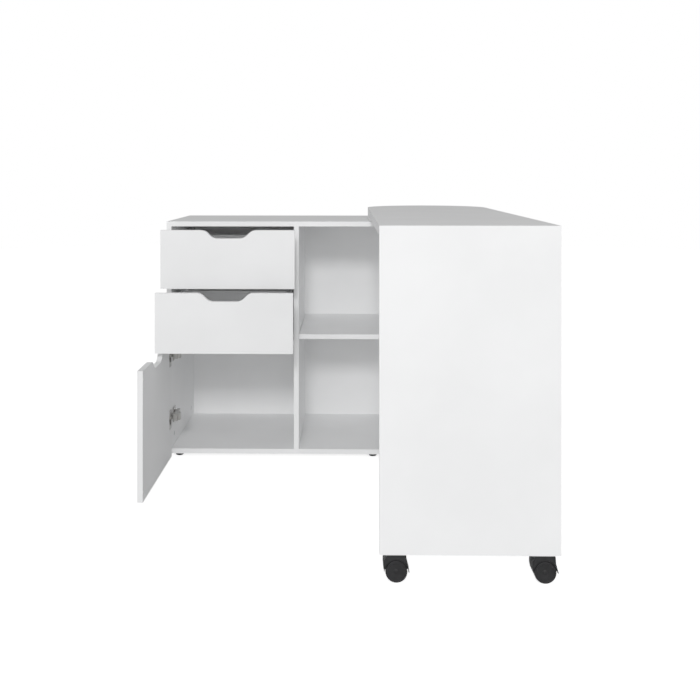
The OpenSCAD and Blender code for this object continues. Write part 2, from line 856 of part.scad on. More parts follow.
module end_panel() {
    color("white") at_pivot() difference() {
        board(-table_w / 2, -reach, castor_h, table_w, table_t, total_h - castor_h);
        desk_screw_shapes(fit_play);
    }
}

module castor_batten() {
    color("white") at_pivot() difference() {
        board(-table_w / 2 + 2, -reach + table_t, castor_h, table_w - 4, batten_t, batten_h);
        desk_screw_shapes(fit_play);
    }
}

module at_brackets() {
    for (x = [-bracket_x, bracket_x]) translate([x, -reach + table_t, table_z]) children();
}

bracket_screw_places = [15, 37];
spacer_screw_ring = 90;

// The screws of both corner brackets: up into the desk's top and forward into its leg panel
module bracket_screw_shapes(play) {
    grip = 12;
    at_brackets() for (s = bracket_screw_places) {
        z_pin(0, s, -bracket_t, screw_d + 2 * play, bracket_t + grip);
        y_pin(0, -grip, -s, screw_d + 2 * play, grip + bracket_t);
    }
}

module corner_brackets() {
    color("white") at_pivot() difference() {
        at_brackets() {
            board(-bracket_w / 2, 0, -bracket_t, bracket_w, bracket_leg, bracket_t);
            board(-bracket_w / 2, 0, -bracket_leg, bracket_w, bracket_t, bracket_leg);
        }
        bracket_screw_shapes(fit_play);
    }
}

// The heads of the brackets' screws, which stand on the steel
module bracket_screw_heads() {
    head_t = 2;
    at_brackets() for (s = bracket_screw_places) {
        z_pin(0, s, -bracket_t - head_t, screw_head_d, head_t);
        y_pin(0, bracket_t, -s, screw_head_d, head_t);
    }
}

// The screws that hold the spacer to the desk's top, their heads sunk in its underside
module spacer_screw_shapes(play) {
    head_t = 3;
    grip = 10;
    for (a = [45:90:315]) {
        x = spacer_screw_ring * cos(a);
        y = spacer_screw_ring * sin(a);
        z_pin(x, y, spacer_z + head_t, screw_d + 2 * play, spacer_t - head_t + grip);
        z_pin(x, y, spacer_z + (play > 0 ? -1 : 1), screw_head_d + 2 * play, head_t + (play > 0 ? 1 : -1));
    }
}

module desk_screw_shapes(play) {
    bracket_screw_shapes(play);
    spacer_screw_shapes(play);
    castor_screw_shapes(play);
}

module desk_screws() {
    color("silver") at_pivot() {
        desk_screw_shapes(0);
        bracket_screw_heads();
    }
}

// ---- Castors. Each is drawn at its swivel axis, with its wheels trailing along +X ----

module at_castor(side) {
    at_pivot() translate([side * (table_w / 2 - castor_inset), -castor_y, 0]) children();
}

// The four screws of a castor plate, round a swivel axis at the origin
module plate_screws(play) {
    grip = 14;
    for (x = [-1, 1], y = [-1, 1])
        z_pin(x * (castor_plate_w / 2 - 6), y * (castor_plate_w / 2 - 6), castor_h - castor_plate_t,
              screw_d + 2 * play, castor_plate_t + grip);
}

module castor_screw_shapes(play) {
    for (side = [-1, 1]) translate([side * (table_w / 2 - castor_inset), -castor_y, 0]) plate_screws(play);
}

module castor_plates() {
    corner_r = 4;
    color([0.12, 0.12, 0.12]) for (side = [-1, 1]) at_castor(side) {
        difference() {
            translate([0, 0, castor_h - castor_plate_t]) linear_extrude(castor_plate_t) union() {
                square([castor_plate_w, castor_plate_w - 2 * corner_r], center = true);
                square([castor_plate_w - 2 * corner_r, castor_plate_w], center = true);
                for (x = [-1, 1], y = [-1, 1])
                    translate([x, y] * (castor_plate_w / 2 - corner_r)) circle(r = corner_r);
            }
            plate_screws(fit_play);
        }
        z_pin(0, 0, hood_top - king_pin_len, king_pin_d, king_pin_len + hood_gap);
    }
}

// The hood's outline from the side, its origin at the wheel's axle: a flat top, a full front and two pointed tips
module hood_outline() {
    front = wheel_pocket_r + 2.8;
    rear = wheel_pocket_r + 2.6;
    top = hood_top - wheel_r;
    polygon([
        [-wheel_pocket_r - 0.8, 0], [-front, 0.3 * top], [-front, 0.52 * top], [-front + 1.5, 0.7 * top],
        [-front + 8, top], [rear - 7, top], [rear - 6, 0.6 * top], [rear - 2.4, 0.22 * top], [rear, -1],
        [wheel_pocket_r - 0.4, 0]
    ]);
}

module castor_hood(side) {
    boss_d = castor_axle_d + 8;
    color([0.12, 0.12, 0.12]) at_castor(side) difference() {
        translate([castor_trail, 0, wheel_r]) {
            difference() {
                rotate([90, 0, 0]) translate([0, 0, -hood_half]) linear_extrude(2 * hood_half) hood_outline();
                for (s = [-1, 1]) translate([0, s * (web_half + hood_half + 1) / 2, 0]) rotate([90, 0, 0])
                    cylinder(r = wheel_pocket_r, h = hood_half + 1 - web_half, center = true);
            }
            rotate([90, 0, 0]) cylinder(d = boss_d, h = 2 * web_half, center = true);
        }
        z_pin(0, 0, hood_top - king_pin_len - 1, king_pin_d + 2 * castor_play, king_pin_len + 2);
        y_pin(castor_trail, -hood_half, wheel_r, castor_axle_d + 2 * fit_play, 2 * hood_half);
    }
}

axle_half = web_half + wheel_gap + wheel_w - 3;

module castor_axle(side) {
    color("silver") at_castor(side) y_pin(castor_trail, -axle_half, wheel_r, castor_axle_d, 2 * axle_half);
}

// One wheel, its axle along Y and its plain face outwards: facing is -1 at the front and 1 at the rear
module castor_wheel(side, facing) {
    edge = 2;
    rim = 4;
    dish = 0.8;
    bore_depth = wheel_w - 2.5;
    color([0.15, 0.15, 0.15]) at_castor(side) translate([castor_trail, 0, wheel_r])
        mirror([0, facing < 0 ? 1 : 0, 0])
        translate([0, web_half + wheel_gap, 0]) rotate([-90, 0, 0]) difference() {
            rotate_extrude() polygon([
                [0, 0], [wheel_r - edge, 0], [wheel_r, edge], [wheel_r, wheel_w - edge], [wheel_r - edge, wheel_w],
                [wheel_r - rim, wheel_w], [wheel_r - rim - dish, wheel_w - dish], [0, wheel_w - dish]
            ]);
            translate([0, 0, -1]) cylinder(d = castor_axle_d + 2 * castor_play, h = bore_depth + 1);
        }
}

module left_castor_hood() { castor_hood(-1); }
module left_castor_axle() { castor_axle(-1); }
module left_castor_front_wheel() { castor_wheel(-1, -1); }
module left_castor_rear_wheel() { castor_wheel(-1, 1); }
module right_castor_hood() { castor_hood(1); }
module right_castor_axle() { castor_axle(1); }
module right_castor_front_wheel() { castor_wheel(1, -1); }
module right_castor_rear_wheel() { castor_wheel(1, 1); }

cabinet_top();
cabinet_bottom();
left_side();
right_side();
divider();
drawer_shelf();
bay_shelf();
back_panel();
shelf_pins();
cam_locks();
cam_bolts();
dowels();
cabinet_screws();
feet();
hinge_plates();
hinge_arms();
upper_cabinet_rails();
lower_cabinet_rails();
pivot_pin();
pivot_screws();
door_panel();
hinge_cups();
hinge_pins();
cup_screws();
door_bumpers();
upper_front();
upper_left_side();
upper_right_side();
upper_back();
upper_bottom();
upper_drawer_rails();
upper_fixings();
lower_front();
lower_left_side();
lower_right_side();
lower_back();
lower_bottom();
lower_drawer_rails();
lower_fixings();
upper_cabinet_rollers();
upper_drawer_rollers();
lower_cabinet_rollers();
lower_drawer_rollers();
table_top();
end_panel();
swivel_spacer();
pivot_bush();
glide_pads();
castor_batten();
corner_brackets();
desk_screws();
castor_plates();
left_castor_hood();
left_castor_axle();
left_castor_front_wheel();
left_castor_rear_wheel();
right_castor_hood();
right_castor_axle();
right_castor_front_wheel();
right_castor_rear_wheel();
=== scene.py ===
"""Looks for a sewing table: finishes for its boards, metal and plastic, its small hardware, and a studio."""

import math

import bmesh
import bpy
from bpy.props import FloatProperty, FloatVectorProperty, IntProperty, PointerProperty
from bpy.types import Operator, Panel, PropertyGroup
from mathutils import Matrix, Vector


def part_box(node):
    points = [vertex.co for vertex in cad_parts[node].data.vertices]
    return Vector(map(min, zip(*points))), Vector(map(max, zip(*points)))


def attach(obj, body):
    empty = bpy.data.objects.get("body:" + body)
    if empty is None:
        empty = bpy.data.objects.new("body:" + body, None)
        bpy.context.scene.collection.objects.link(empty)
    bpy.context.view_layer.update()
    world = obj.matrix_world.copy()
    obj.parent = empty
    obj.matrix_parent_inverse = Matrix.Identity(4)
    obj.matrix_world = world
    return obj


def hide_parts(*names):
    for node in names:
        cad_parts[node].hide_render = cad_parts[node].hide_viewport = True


bl_info = {
    "name": "Sewing Table",
    "version": (1, 0, 0),
    "blender": (4, 5, 0),
    "location": "View3D > Sidebar > Sewing Table",
    "description": "Finishes a sewing table with a swivelling desk, drawers, a door and castors",
    "category": "Object",
}

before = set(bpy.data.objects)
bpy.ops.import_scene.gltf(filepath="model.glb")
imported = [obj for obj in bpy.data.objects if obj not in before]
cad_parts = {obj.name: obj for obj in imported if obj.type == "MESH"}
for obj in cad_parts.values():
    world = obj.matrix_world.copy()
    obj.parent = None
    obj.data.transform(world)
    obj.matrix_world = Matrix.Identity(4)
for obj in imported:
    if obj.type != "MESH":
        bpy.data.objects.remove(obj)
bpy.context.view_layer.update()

MM = 0.001
SHARP_ANGLE = math.radians(32)
ROUTED_ANGLE = math.radians(40)
TURNED_ANGLE = math.radians(50)
SMOOTH_ANGLE = math.radians(35)
WELD_DISTANCE = 0.01 * MM
MERGE_DISTANCE = 0.001 * MM
BLACK_GLOSS = 0.2
PLASTIC_GRAIN = 1100.0
SCRATCH_SCALE = 900.0
RAMP_START = 0.35
RAMP_END = 0.65
SEAM_SLOT = 1
HEAD_STEPS = 32
SHANK_STEPS = 16
WHEEL_STEPS = 72
FOOT_STEPS = 64
FLOOR_STEPS = 96
VIEW_GAMMA = 1.35
CAMERA_SHIFT = (0.0263, -0.2507)
KEY_SIDE = -0.3
KEY_DISTANCE = 6.2
KEY_TARGET = Vector((0, 0, 0.45))
FLOOR_RADII = (0.0, 1.0, 2.0, 4.0, 9.0)
FLOOR_ALBEDO = 0.72
FLOOR_GLOW = 0.8

MELAMINE_NODES = (
    "cabinet_top", "cabinet_bottom", "left_side", "right_side", "divider", "drawer_shelf", "bay_shelf",
    "back_panel", "swivel_spacer", "table_top", "end_panel", "castor_batten",
    "upper_left_side", "upper_right_side", "upper_back", "upper_bottom",
    "lower_left_side", "lower_right_side", "lower_back", "lower_bottom",
)
FRONT_NODES = ("upper_front", "lower_front", "door_panel")
PAINTED_NODES = (
    "upper_cabinet_rails", "lower_cabinet_rails", "upper_drawer_rails", "lower_drawer_rails",
    "corner_brackets",
)
ROLLER_NODES = (
    "upper_cabinet_rollers", "upper_drawer_rollers", "lower_cabinet_rollers", "lower_drawer_rollers",
)
NYLON_NODES = ("pivot_bush", "glide_pads", "door_bumpers")
NICKEL_NODES = ("hinge_arms", "hinge_plates", "hinge_cups")
ZINC_NODES = (
    "hinge_pins", "pivot_pin", "shelf_pins", "cam_bolts", "left_castor_axle", "right_castor_axle",
)


# ---- Settings ----


class BoardSettings(PropertyGroup):
    face_colour: FloatVectorProperty(
        name="Face colour", description="Colour of the melamine faces",
        subtype="COLOR", size=3, min=0, max=1, default=(0.905, 0.91, 0.915),
    )
    # The fronts' colour is a little darker than the faces': painted shade for the fronts, which stand
    # further from the light than the end panel.
    front_shaded_colour: FloatVectorProperty(
        name="Front colour", description="Colour of the drawer fronts and the door",
        subtype="COLOR", size=3, min=0, max=1, default=(0.87, 0.875, 0.88),
    )
    seam_colour: FloatVectorProperty(
        name="Seam colour", description="Colour of the glue line where the edge band meets a face",
        subtype="COLOR", size=3, min=0, max=1, default=(0.74, 0.74, 0.73),
    )
    edge_radius: FloatProperty(
        name="Edge radius", description="Radius of the scraped edge band",
        unit="LENGTH", min=0.0002, max=0.003, default=0.0008,
    )
    roughness: FloatProperty(
        name="Roughness", description="Roughness of the melamine",
        subtype="FACTOR", min=0, max=1, default=0.46,
    )


class MetalSettings(PropertyGroup):
    nickel_colour: FloatVectorProperty(
        name="Nickel colour", description="Colour of the plated hinges",
        subtype="COLOR", size=3, min=0, max=1, default=(0.50, 0.49, 0.47),
    )
    zinc_colour: FloatVectorProperty(
        name="Zinc colour", description="Colour of the screws, pins and cams",
        subtype="COLOR", size=3, min=0, max=1, default=(0.58, 0.59, 0.60),
    )
    runner_colour: FloatVectorProperty(
        name="Runner colour", description="Colour of the painted drawer runners",
        subtype="COLOR", size=3, min=0, max=1, default=(0.78, 0.78, 0.77),
    )
    edge_radius: FloatProperty(
        name="Edge radius", description="Radius of the pressed metal's edges",
        unit="LENGTH", min=0.0001, max=0.001, default=0.00035,
    )


class CastorSettings(PropertyGroup):
    colour: FloatVectorProperty(
        name="Colour", description="Colour of the moulded castors and feet",
        subtype="COLOR", size=3, min=0, max=1, default=(0.006, 0.006, 0.0065),
    )
    hood_radius: FloatProperty(
        name="Hood edge radius", description="Radius of the moulded hood's edges",
        unit="LENGTH", min=0.0002, max=0.003, default=0.0012,
    )
    tread_grooves: IntProperty(
        name="Rim grooves", description="How many fine grooves run round a wheel's tread",
        min=0, max=6, default=3,
    )


class StudioSettings(PropertyGroup):
    key_power: FloatProperty(
        name="Key power", description="Power of the round light in front",
        unit="POWER", min=0, default=132.0,
    )
    key_size: FloatProperty(
        name="Key size", description="Diameter of the round light in front",
        unit="LENGTH", min=0.1, max=4, default=1.0,
    )
    key_height: FloatProperty(
        name="Key height", description="Height of the round light in front",
        unit="LENGTH", min=0.5, max=6, default=3.15,
    )
    fill: FloatProperty(
        name="Fill", description="Brightness of the light from all round at eye level",
        min=0, max=2, default=0.30,
    )
    front_glow: FloatProperty(
        name="Front glow", description="Extra brightness from the side the camera is on",
        min=0, max=3, default=1.0,
    )
    sky: FloatProperty(
        name="Sky", description="Brightness of the light from straight above", min=0, max=2, default=0.29,
    )
    camera_height: FloatProperty(
        name="Camera height", description="Height of the lens above the floor",
        unit="LENGTH", min=0.1, max=3, default=0.8798,
    )
    camera_distance: FloatProperty(
        name="Camera distance", description="Distance from the lens to the origin along Y",
        unit="LENGTH", min=1, max=6, default=2.6088,
    )
    camera_side: FloatProperty(
        name="Camera side", description="Distance of the lens to the right of the origin",
        unit="LENGTH", min=-1, max=1, default=0.0507,
    )
    camera_turn: FloatProperty(
        name="Camera turn", description="How far the camera is turned to the left",
        subtype="ANGLE", min=-0.5, max=0.5, default=math.radians(0.97),
    )
    lens: FloatProperty(
        name="Lens", description="Focal length in millimetres", min=20, max=120, default=47.02,
    )


class SewingTableSettings(PropertyGroup):
    boards: PointerProperty(type=BoardSettings, name="Boards", description="Melamine boards")
    metal: PointerProperty(type=MetalSettings, name="Metal", description="Hinges, runners and screws")
    castors: PointerProperty(type=CastorSettings, name="Castors", description="Castors and feet")
    studio: PointerProperty(type=StudioSettings, name="Studio", description="Floor, light and camera")


# ---- Materials ----


def new_material(name):
    """A material with an empty node tree and its Principled shader: (material, tree, shader)."""
    material = bpy.data.materials.new(name)
    material.use_nodes = True
    tree = material.node_tree
    tree.nodes.clear()
    output = tree.nodes.new("ShaderNodeOutputMaterial")
    shader = tree.nodes.new("ShaderNodeBsdfPrincipled")
    tree.links.new(shader.outputs["BSDF"], output.inputs["Surface"])
    return material, tree, shader


def noise(tree, scale, detail=2.0, stretch=(1, 1, 1)):
    """Noise in the piece's own coordinates; scale is in features per metre."""
    place = tree.nodes.new("ShaderNodeTexCoord")
    mapping = tree.nodes.new("ShaderNodeMapping")
    mapping.inputs["Scale"].default_value = stretch
    texture = tree.nodes.new("ShaderNodeTexNoise")
    texture.inputs["Scale"].default_value = scale
    texture.inputs["Detail"].default_value = detail
    tree.links.new(place.outputs["Object"], mapping.inputs["Vector"])
    tree.links.new(mapping.outputs["Vector"], texture.inputs["Vector"])
    return texture.outputs["Fac"]


def ramp(tree, value, low, high):
    """A colour that runs from low to high over the middle of value's range."""
    node = tree.nodes.new("ShaderNodeValToRGB")
    node.color_ramp.elements[0].position = RAMP_START
    node.color_ramp.elements[1].position = RAMP_END
    node.color_ramp.elements[0].color = (*low, 1)
    node.color_ramp.elements[1].color = (*high, 1)
    tree.links.new(value, node.inputs["Fac"])
    return node.outputs["Color"]


def spread(tree, value, low, high):
    """value, mapped from 0..1 to low..high."""
    node = tree.nodes.new("ShaderNodeMapRange")
    node.inputs["To Min"].default_value = low
    node.inputs["To Max"].default_value = high
    tree.links.new(value, node.inputs["Value"])
    return node.outputs["Result"]


def bump(tree, shader, height, strength, distance):
    """Raises the shader's surface by height, with the distance in metres."""
    node = tree.nodes.new("ShaderNodeBump")
    node.inputs["Strength"].default_value = strength
    node.inputs["Distance"].default_value = distance
    tree.links.new(height, node.inputs["Height"])
    tree.links.new(node.outputs["Normal"], shader.inputs["Normal"])


def shade(colour, factor):
    """colour, made lighter or darker and kept within white."""
    return tuple(min(1.0, c * factor) for c in colour)


def melamine(name, colour, roughness):
    """White melamine: a fine pearl texture, a faint cloudiness and a satin surface."""
    material, tree, shader = new_material(name)
    cloud = noise(tree, 5.0, 3.0)
    pearl = noise(tree, 1400.0, 2.0)
    tree.links.new(ramp(tree, cloud, shade(colour, 0.975), shade(colour, 1.02)), shader.inputs["Base Color"])
    tree.links.new(spread(tree, pearl, roughness - 0.07, roughness + 0.09), shader.inputs["Roughness"])
    shader.inputs["IOR"].default_value = 1.5
    bump(tree, shader, pearl, 0.12, 0.00012)
    return material


def metal(name, colour, roughness):
    """Plated steel with fine drawing marks and a little dulling."""
    material, tree, shader = new_material(name)
    dull = noise(tree, 60.0, 4.0)
    marks = noise(tree, SCRATCH_SCALE, 3.0, (1, 1, 0.08))
    tree.links.new(ramp(tree, dull, shade(colour, 0.86), shade(colour, 1.08)), shader.inputs["Base Color"])
    tree.links.new(spread(tree, marks, roughness - 0.08, roughness + 0.14), shader.inputs["Roughness"])
    shader.inputs["Metallic"].default_value = 1.0
    bump(tree, shader, marks, 0.15, 0.00005)
    return material


def painted_steel(name, colour):
    """Baked paint with a slight orange peel."""
    material, tree, shader = new_material(name)
    peel = noise(tree, 420.0, 1.0)
    cloud = noise(tree, 30.0, 2.0)
    tree.links.new(ramp(tree, cloud, shade(colour, 0.95), shade(colour, 1.02)), shader.inputs["Base Color"])
    tree.links.new(spread(tree, peel, 0.3, 0.42), shader.inputs["Roughness"])
    shader.inputs["Coat Weight"].default_value = 0.25
    shader.inputs["Coat Roughness"].default_value = 0.2
    bump(tree, shader, peel, 0.1, 0.0001)
    return material


def moulded(name, colour, roughness, gloss=0.5):
    """Moulded plastic with a fine spark-eroded grain and a few rubbed patches."""
    material, tree, shader = new_material(name)
    grains = noise(tree, PLASTIC_GRAIN, 3.0)
    rubbed = noise(tree, 45.0, 4.0)
    tree.links.new(ramp(tree, rubbed, shade(colour, 0.85), shade(colour, 1.3)), shader.inputs["Base Color"])
    tree.links.new(spread(tree, grains, roughness - 0.1, roughness + 0.12), shader.inputs["Roughness"])
    shader.inputs["IOR"].default_value = 1.49
    shader.inputs["Specular IOR Level"].default_value = gloss
    bump(tree, shader, grains, 0.25, 0.00012)
    return material


def beech(name):
    """Pale beech with long fine grain."""
    material, tree, shader = new_material(name)
    grain = noise(tree, 220.0, 4.0, (0.08, 1, 0.08))
    tree.links.new(ramp(tree, grain, (0.50, 0.32, 0.17), (0.68, 0.48, 0.28)), shader.inputs["Base Color"])
    tree.links.new(spread(tree, grain, 0.5, 0.7), shader.inputs["Roughness"])
    bump(tree, shader, grain, 0.2, 0.0001)
    return material


def finish(name, make, *values):
    """The material of that name, made on first use."""
    return bpy.data.materials.get(name) or make(name, *values)


def melamine_face(settings):
    return finish("melamine_face", melamine, tuple(settings.boards.face_colour), settings.boards.roughness)


# Melamine in the fronts' darker colour: painted shade on the drawer fronts and the door.
def melamine_front(settings):
    return finish("melamine_front", melamine, tuple(settings.boards.front_shaded_colour), settings.boards.roughness)


def edge_seam(settings):
    return finish("edge_band_seam", melamine, tuple(settings.boards.seam_colour), 0.4)


def nickel(settings):
    return finish("nickel_plate", metal, tuple(settings.metal.nickel_colour), 0.3)


def zinc(settings):
    return finish("zinc_plate", metal, tuple(settings.metal.zinc_colour), 0.34)


def white_paint(settings):
    return finish("white_paint", painted_steel, tuple(settings.metal.runner_colour))


def black_plastic(settings):
    return finish("moulded_black", moulded, tuple(settings.castors.colour), 0.5, BLACK_GLOSS)


def white_nylon():
    return finish("white_nylon", moulded, (0.72, 0.72, 0.70), 0.4)


def foot_black(settings):
    return finish("black_tread", moulded, shade(tuple(settings.castors.colour), 1.5), 0.62, BLACK_GLOSS)


def black_paint():
    return finish("black_paint", painted_steel, (0.02, 0.02, 0.021))


# ---- Mesh helpers ----


def soften(node, radius, segments=2, seam_slot=-1, angle=SHARP_ANGLE):
    """Rounds a CAD node's edges sharper than angle; the rounds take the material in seam_slot, if any."""
    weld = node.modifiers.new("weld", "WELD")
    weld.merge_threshold = WELD_DISTANCE
    bevel = node.modifiers.new("rounded_edges", "BEVEL")
    bevel.width = radius
    bevel.segments = segments
    bevel.limit_method = "ANGLE"
    bevel.angle_limit = angle
    bevel.use_clamp_overlap = True
    bevel.material = seam_slot
    normals = node.modifiers.new("normals", "WEIGHTED_NORMAL")
    normals.weight = 80
    normals.keep_sharp = False


def dress(node, *materials):
    """Gives a CAD node these materials, in the order of its slots."""
    node.data.materials.clear()
    for material in materials:
        node.data.materials.append(material)


def new_piece(name, mesh, material, body, slot, *replaced):
    """A piece that rides on a body, takes the given material and may stand for CAD nodes; slot is not used.
    """
    piece = bpy.data.objects.new(name, mesh)
    bpy.context.scene.collection.objects.link(piece)
    mesh.materials.append(material)
    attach(piece, body)
    if replaced:
        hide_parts(*replaced)
    return piece


def mesh_from(name, bm):
    """A mesh of bm, smooth but for its sharp edges; bm is freed."""
    bmesh.ops.remove_doubles(bm, verts=bm.verts, dist=MERGE_DISTANCE)
    bmesh.ops.recalc_face_normals(bm, faces=bm.faces)
    for face in bm.faces:
        face.smooth = True
    for edge in bm.edges:
        edge.smooth = len(edge.link_faces) == 2 and edge.calc_face_angle() < SMOOTH_ANGLE
    mesh = bpy.data.meshes.new(name)
    bm.to_mesh(mesh)
    bm.free()
    return mesh


def bridge(bm, rings, steps):
    """Joins each ring of vertices to the next one; a ring may be a single vertex."""
    for low, high in zip(rings, rings[1:]):
        for i in range(steps):
            j = (i + 1) % steps
            corners = [low[i % len(low)], low[j % len(low)], high[j % len(high)], high[i % len(high)]]
            unique = list(dict.fromkeys(corners))
            if len(unique) >= 3:
                bm.faces.new(unique)


def ring_of(bm, matrix, radius, height, steps):
    """A ring of vertices round matrix's Z axis."""
    angles = (2 * math.pi * i / steps for i in range(steps))
    return [
        bm.verts.new(matrix @ Vector((radius * math.cos(t), radius * math.sin(t), height)))
        for t in angles
    ]


def add_lathe(bm, profile, matrix, steps):
    """Spins a profile of (radius, height) points round matrix's Z axis; radius 0 closes on a point."""
    rings = []
    for radius, height in profile:
        if radius == 0:
            rings.append([bm.verts.new(matrix @ Vector((0, 0, height)))])
        else:
            rings.append(ring_of(bm, matrix, radius, height, steps))
    bridge(bm, rings, steps)


def add_cross_head(bm, matrix, radius, height, dome=0.35, recess=0.6):
    """A pan head with a cross recess, its base at matrix's origin and its top along +Z."""
    arm = 0.16 * radius
    reach = 0.58 * radius

    def in_cross(x, y):
        return (abs(x) < arm and abs(y) < reach) or (abs(y) < arm and abs(x) < reach)

    radii = [radius * k for k in (0.0, 0.08, 0.16, 0.165, 0.3, 0.45, 0.575, 0.585, 0.75, 0.9, 1.0)]
    rings = []
    for r in radii:
        ring = []
        for i in range(HEAD_STEPS):
            t = 2 * math.pi * i / HEAD_STEPS
            x = r * math.cos(t)
            y = r * math.sin(t)
            z = height * (1 - dome * (r / radius) ** 2)
            if in_cross(x, y):
                z -= height * recess
            ring.append(bm.verts.new(matrix @ Vector((x, y, z))))
            if r == 0.0:
                break
        rings.append(ring)
    rings.append(ring_of(bm, matrix, radius, 0, HEAD_STEPS))
    rings.append([bm.verts.new(matrix @ Vector((0, 0, 0)))])
    bridge(bm, rings, HEAD_STEPS)


def facing(place, direction):
    """A matrix at place whose Z axis points along direction."""
    return Matrix.Translation(Vector(place)) @ Vector(direction).to_track_quat("Z", "Y").to_matrix().to_4x4()


def islands(node):
    """The lowest and highest corners of each separate solid in a CAD node, in a fixed order."""
    bm = bmesh.new()
    bm.from_mesh(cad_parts[node].data)
    bmesh.ops.remove_doubles(bm, verts=bm.verts, dist=MERGE_DISTANCE)
    seen = set()
    boxes = []
    for start in bm.verts:
        if start in seen:
            continue
        seen.add(start)
        stack = [start]
        members = []
        while stack:
            vertex = stack.pop()
            members.append(vertex.co.copy())
            for edge in vertex.link_edges:
                other = edge.other_vert(vertex)
                if other not in seen:
                    seen.add(other)
                    stack.append(other)
        low = Vector(min(c[i] for c in members) for i in range(3))
        high = Vector(max(c[i] for c in members) for i in range(3))
        boxes.append((low, high))
    bm.free()
    return sorted(boxes, key=lambda b: tuple(round(v, 5) for v in b[0]))


# ---- Operators ----


class SEWING_TABLE_OT_boards(Operator):
    """Gives the boards of the cabinet, the drawers and the desk their melamine and rounded edge bands"""

    bl_idname = "sewing_table.boards"
    bl_label = "Boards"

    def execute(self, context):
        settings = context.scene.sewing_table
        for name in MELAMINE_NODES:
            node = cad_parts[name]
            dress(node, melamine_face(settings), edge_seam(settings))
            if name != "back_panel":  # a thin sawn board, which keeps its sharp edges
                soften(node, settings.boards.edge_radius, 2, seam_slot=SEAM_SLOT)
        return {"FINISHED"}


class SEWING_TABLE_OT_fronts(Operator):
    """Gives the drawer fronts and the door their melamine and rounds their edges"""

    bl_idname = "sewing_table.fronts"
    bl_label = "Fronts"

    def execute(self, context):
        settings = context.scene.sewing_table
        for name in FRONT_NODES:
            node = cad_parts[name]
            dress(node, melamine_front(settings), edge_seam(settings))
            soften(node, 1.6 * settings.boards.edge_radius, 3, seam_slot=SEAM_SLOT, angle=ROUTED_ANGLE)
        return {"FINISHED"}


class SEWING_TABLE_OT_runners(Operator):
    """Paints the drawer runners and the corner brackets, and finishes the nylon rollers"""

    bl_idname = "sewing_table.runners"
    bl_label = "Runners"

    def execute(self, context):
        settings = context.scene.sewing_table
        for name in PAINTED_NODES:
            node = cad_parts[name]
            dress(node, white_paint(settings))
            soften(node, settings.metal.edge_radius, 2)
        for name in ROLLER_NODES:
            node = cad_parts[name]
            dress(node, white_nylon())
            soften(node, settings.metal.edge_radius, 2, angle=TURNED_ANGLE)
        return {"FINISHED"}


class SEWING_TABLE_OT_hinges(Operator):
    """Plates the door's concealed hinges and adds their adjusting screws"""

    bl_idname = "sewing_table.hinges"
    bl_label = "Hinges"

    def execute(self, context):
        settings = context.scene.sewing_table
        for name in NICKEL_NODES:
            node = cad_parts[name]
            dress(node, nickel(settings))
            soften(node, settings.metal.edge_radius * 1.6, 3)
        head_radius = 3.2 * MM
        head_height = 1.4 * MM
        bm = bmesh.new()
        for low, high in islands("hinge_arms"):
            face_x = low.x + 10 * MM
            for back in (6 * MM, 17 * MM):
                add_cross_head(bm, facing((face_x, high.y - back, (low.z + high.z) / 2), (1, 0, 0)),
                               head_radius, head_height)
        mesh = mesh_from("hinge_screws", bm)
        new_piece("hinge_screws", mesh, zinc(settings), "cabinet", "zinc_steel")
        return {"FINISHED"}


class SEWING_TABLE_OT_swivel(Operator):
    """Finishes the pins, bolts and axles, the swivel's bush and pads, the door's bumpers and the dowels"""

    bl_idname = "sewing_table.swivel"
    bl_label = "Swivel"

    def execute(self, context):
        settings = context.scene.sewing_table
        for name in ZINC_NODES:
            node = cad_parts[name]
            dress(node, zinc(settings))
            soften(node, settings.metal.edge_radius, 2, angle=TURNED_ANGLE)
        for name in NYLON_NODES:
            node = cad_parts[name]
            dress(node, white_nylon())
            soften(node, settings.metal.edge_radius, 2, angle=TURNED_ANGLE)
        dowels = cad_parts["dowels"]
        dress(dowels, finish("beech_wood", beech))
        soften(dowels, 0.6 * MM, 2, angle=TURNED_ANGLE)
        return {"FINISHED"}


